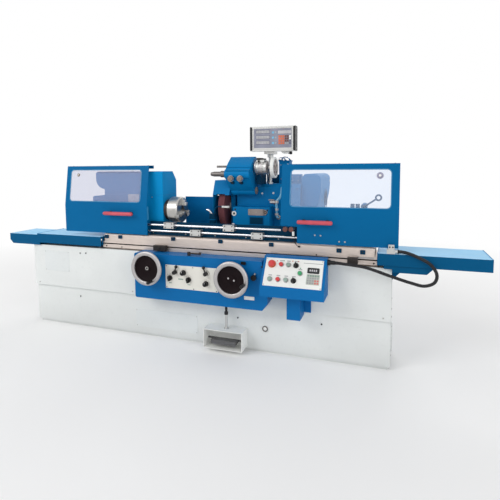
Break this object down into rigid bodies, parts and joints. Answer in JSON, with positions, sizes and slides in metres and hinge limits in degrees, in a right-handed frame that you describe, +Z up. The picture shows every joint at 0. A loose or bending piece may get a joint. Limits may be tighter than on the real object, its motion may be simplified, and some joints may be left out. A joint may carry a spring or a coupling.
{
  "type": "cylindrical grinding machine",
  "caption": "Floor-standing cylindrical grinding machine with sliding doors over a swivel table, wheelhead, swing-down internal head and digital readout.",
  "frame": {"origin": "centre of the long bed's underside, on the floor", "axes": "+X along the table to the operator's right, +Y to the back, +Z up"},
  "size_m": [3.6983, 1.597, 1.62],
  "materials": {
    "cream_paint": "satin enamel on cast iron and sheet steel",
    "machine_blue": "gloss enamel",
    "royal_blue": "gloss enamel",
    "ground_steel": "ground and scraped",
    "bright_chrome": "polished",
    "black_plastic": "matt black",
    "clear_pane": "clear sheet",
    "abrasive": "bonded grit",
    "grey_case": "dark powder coat",
    "red_cap": "moulded",
    "green_cap": "moulded",
    "grey_green_cap": "moulded"
  },
  "bodies": {
    "bed": {"lower_plinth": "cream_paint", "upper_bed": "cream_paint", "apron_housing": "royal_blue", "operator_box": "royal_blue", "pedal_box": "cream_paint", "left_end_cover": "royal_blue", "right_tray": "royal_blue", "rear_splash_shield": "machine_blue", "conduit_hose": "black_plastic"},
    "table": {"lower_table": "ground_steel", "left_way_cover": "royal_blue", "right_way_cover": "royal_blue", "hose_clamp": "black_plastic"},
    "left_dog": {"left_trip_dog": "black_plastic"},
    "right_dog": {"right_trip_dog": "black_plastic"},
    "swivel": {"swivel_table": "ground_steel", "rail_plate": "ground_steel", "headstock_body": "machine_blue", "headstock_cowl": "machine_blue"},
    "chuck": {"chuck_body": "bright_chrome"},
    "jaw_1": {"chuck_jaw_1": "bright_chrome"},
    "jaw_2": {"chuck_jaw_2": "bright_chrome"},
    "jaw_3": {"chuck_jaw_3": "bright_chrome"},
    "tailstock": {"tailstock_body": "machine_blue"},
    "quill": {"tailstock_quill": "bright_chrome"},
    "quill_lever": {"tailstock_lever": "black_plastic"},
    "left_door": {"left_door_panel": "machine_blue", "left_door_window": "clear_pane", "upper_rod": "bright_chrome"},
    "right_door": {"right_door_panel": "machine_blue", "right_door_window": "clear_pane", "lower_rod": "bright_chrome"},
    "wheelhead": {"wheelhead_body": "machine_blue", "wheel_guard": "machine_blue", "wheelhead_motor": "machine_blue", "internal_motor": "ground_steel"},
    "wheel": {"grinding_wheel": "abrasive"},
    "internal_arm": {"internal_head": "machine_blue"},
    "spindle": {"internal_spindle": "black_plastic"},
    "readout": {"readout_box": "grey_case"},
    "left_handwheel": {"left_handwheel": "bright_chrome"},
    "right_handwheel": {"right_handwheel": "bright_chrome"},
    "table_feed_lever": {"table_feed_lever": "black_plastic"},
    "infeed_lever": {"infeed_lever": "black_plastic"},
    "left_speed_knob": {"left_speed_knob": "black_plastic"},
    "right_speed_knob": {"right_speed_knob": "black_plastic"},
    "left_selector_knob": {"left_selector_knob": "black_plastic"},
    "right_selector_knob": {"right_selector_knob": "black_plastic"},
    "dwell_knob": {"dwell_knob": "black_plastic"},
    "emergency_stop": {"emergency_stop": "red_cap"},
    "stop_button": {"stop_button": "red_cap"},
    "pump_button": {"pump_button": "grey_green_cap"},
    "start_button": {"start_button": "green_cap"},
    "jog_button": {"jog_button": "grey_green_cap"},
    "wheel_stop_button": {"wheel_stop_button": "red_cap"},
    "wheel_start_button": {"wheel_start_button": "grey_green_cap"},
    "feed_selector": {"feed_selector": "black_plastic"},
    "work_selector": {"work_selector": "black_plastic"},
    "foot_pedal": {"foot_pedal": "black_plastic"},
    "reversing_lever": {"reversing_lever": "ground_steel"}
  },
  "joints": [
    {"name": "table_traverse", "type": "slide", "parent": "bed", "child": "table", "axis": [1, 0, 0], "range_m": [-0.62, 0.15], "deforming": ["conduit_hose"]},
    {"name": "left_dog_slide", "type": "slide", "parent": "table", "child": "left_dog", "axis": [1, 0, 0], "range_m": [-0.3, 0.15]},
    {"name": "right_dog_slide", "type": "slide", "parent": "table", "child": "right_dog", "axis": [1, 0, 0], "range_m": [-0.6, 0]},
    {"name": "table_swivel", "type": "hinge", "parent": "table", "child": "swivel", "pos_m": [0.313, -0.036, 0.7403], "axis": [0, 0, 1], "range_deg": [-7, 3]},
    {"name": "chuck_spin", "type": "hinge", "parent": "swivel", "child": "chuck", "pos_m": [-0.16, -0.009, 0.992], "axis": [1, 0, 0], "continuous": true},
    {"name": "jaw_1_slide", "type": "slide", "parent": "chuck", "child": "jaw_1", "axis": [0, 0, 1], "range_m": [-0.02, 0.012]},
    {"name": "jaw_2_slide", "type": "slide", "parent": "chuck", "child": "jaw_2", "axis": [0, -0.866, -0.5], "range_m": [-0.02, 0.012]},
    {"name": "jaw_3_slide", "type": "slide", "parent": "chuck", "child": "jaw_3", "axis": [0, 0.866, -0.5], "range_m": [-0.02, 0.012]},
    {"name": "tailstock_slide", "type": "slide", "parent": "swivel", "child": "tailstock", "axis": [-1, 0, 0], "range_m": [0, 0.7]},
    {"name": "quill_lever_pivot", "type": "hinge", "parent": "tailstock", "child": "quill_lever", "pos_m": [1.266, -0.065, 1.052], "axis": [0, 1, 0], "range_deg": [0, 35], "stiffness_Nm_per_rad": 2, "springref_deg": -17.19},
    {"name": "quill_slide", "type": "slide", "parent": "tailstock", "child": "quill", "axis": [1, 0, 0], "range_m": [0, 0.0185]},
    {"name": "left_door_slide", "type": "slide", "parent": "swivel", "child": "left_door", "axis": [1, 0, 0], "range_m": [0, 0.52]},
    {"name": "right_door_slide", "type": "slide", "parent": "swivel", "child": "right_door", "axis": [-1, 0, 0], "range_m": [0, 0.52]},
    {"name": "wheelhead_infeed", "type": "slide", "parent": "bed", "child": "wheelhead", "axis": [0, 1, 0], "range_m": [-0.14, 0.06]},
    {"name": "wheel_spin", "type": "hinge", "parent": "wheelhead", "child": "wheel", "pos_m": [0.19, 0.335, 0.992], "axis": [1, 0, 0], "continuous": true},
    {"name": "internal_swing", "type": "hinge", "parent": "wheelhead", "child": "internal_arm", "pos_m": [0.3385, 0.1925, 1.136], "axis": [1, 0, 0], "range_deg": [0, 93]},
    {"name": "internal_spindle_spin", "type": "hinge", "parent": "internal_arm", "child": "spindle", "pos_m": [0.18, 0.055, 1.266], "axis": [1, 0, 0], "continuous": true},
    {"name": "readout_swivel", "type": "hinge", "parent": "wheelhead", "child": "readout", "pos_m": [0.526, 0.287, 1.404], "axis": [0, 0, 1], "range_deg": [-40, 40]},
    {"name": "left_handwheel_spin", "type": "hinge", "parent": "bed", "child": "left_handwheel", "pos_m": [-0.216, -0.35, 0.597], "axis": [0, 1, 0], "continuous": true},
    {"name": "right_handwheel_spin", "type": "hinge", "parent": "bed", "child": "right_handwheel", "pos_m": [0.436, -0.35, 0.568], "axis": [0, 1, 0], "continuous": true},
    {"name": "table_feed_lever_swing", "type": "hinge", "parent": "bed", "child": "table_feed_lever", "pos_m": [-0.019, -0.295, 0.57], "axis": [0, 1, 0], "range_deg": [-30, 30]},
    {"name": "infeed_lever_swing", "type": "hinge", "parent": "bed", "child": "infeed_lever", "pos_m": [0.226, -0.295, 0.578], "axis": [0, 1, 0], "range_deg": [-25, 25]},
    {"name": "left_speed_knob_turn", "type": "hinge", "parent": "bed", "child": "left_speed_knob", "pos_m": [0.05, -0.295, 0.572], "axis": [0, 1, 0], "range_deg": [-135, 135]},
    {"name": "right_speed_knob_turn", "type": "hinge", "parent": "bed", "child": "right_speed_knob", "pos_m": [0.225, -0.295, 0.507], "axis": [0, 1, 0], "range_deg": [-135, 135]},
    {"name": "left_selector_knob_turn", "type": "hinge", "parent": "bed", "child": "left_selector_knob", "pos_m": [-0.061, -0.295, 0.526], "axis": [0, 1, 0], "range_deg": [-45, 45]},
    {"name": "right_selector_knob_turn", "type": "hinge", "parent": "bed", "child": "right_selector_knob", "pos_m": [0.089, -0.295, 0.524], "axis": [0, 1, 0], "range_deg": [-45, 45]},
    {"name": "dwell_knob_turn", "type": "hinge", "parent": "bed", "child": "dwell_knob", "pos_m": [0.578, -0.295, 0.579], "axis": [0, 1, 0], "range_deg": [-135, 135]},
    {"name": "emergency_stop_press", "type": "slide", "parent": "bed", "child": "emergency_stop", "axis": [0, 0.8335, -0.5525], "range_m": [0, 0.004]},
    {"name": "stop_button_press", "type": "slide", "parent": "bed", "child": "stop_button", "axis": [0, 0.8335, -0.5525], "range_m": [0, 0.004], "stiffness_N_per_m": 300, "springref_m": -0.004},
    {"name": "pump_button_press", "type": "slide", "parent": "bed", "child": "pump_button", "axis": [0, 0.8335, -0.5525], "range_m": [0, 0.004], "stiffness_N_per_m": 300, "springref_m": -0.004},
    {"name": "start_button_press", "type": "slide", "parent": "bed", "child": "start_button", "axis": [0, 0.8335, -0.5525], "range_m": [0, 0.004], "stiffness_N_per_m": 300, "springref_m": -0.004},
    {"name": "jog_button_press", "type": "slide", "parent": "bed", "child": "jog_button", "axis": [0, 0.8335, -0.5525], "range_m": [0, 0.004], "stiffness_N_per_m": 300, "springref_m": -0.004},
    {"name": "wheel_stop_button_press", "type": "slide", "parent": "bed", "child": "wheel_stop_button", "axis": [0, 0.8335, -0.5525], "range_m": [0, 0.004], "stiffness_N_per_m": 300, "springref_m": -0.004},
    {"name": "wheel_start_button_press", "type": "slide", "parent": "bed", "child": "wheel_start_button", "axis": [0, 0.8335, -0.5525], "range_m": [0, 0.004], "stiffness_N_per_m": 300, "springref_m": -0.004},
    {"name": "feed_selector_turn", "type": "hinge", "parent": "bed", "child": "feed_selector", "pos_m": [0.866, -0.28768, 0.68172], "axis": [0, 0.8335, -0.5525], "range_deg": [-45, 45]},
    {"name": "work_selector_turn", "type": "hinge", "parent": "bed", "child": "work_selector", "pos_m": [0.862, -0.34432, 0.59628], "axis": [0, 0.8335, -0.5525], "range_deg": [-45, 45]},
    {"name": "foot_pedal_press", "type": "hinge", "parent": "bed", "child": "foot_pedal", "pos_m": [0.329, -0.177, 0.078], "axis": [1, 0, 0], "range_deg": [0, 14], "stiffness_Nm_per_rad": 10, "springref_deg": -17.19},
    {"name": "reversing_lever_swing", "type": "hinge", "parent": "bed", "child": "reversing_lever", "pos_m": [0.075, -0.249, 0.7], "axis": [0, 0, 1], "range_deg": [-15, 15]}
  ],
  "couplings": [
    {"joint": "jaw_2_slide", "follows": "jaw_1_slide", "ratio": 1},
    {"joint": "jaw_3_slide", "follows": "jaw_1_slide", "ratio": 1},
    {"joint": "quill_slide", "follows": "quill_lever_pivot", "m_per_rad": 0.03}
  ]
}
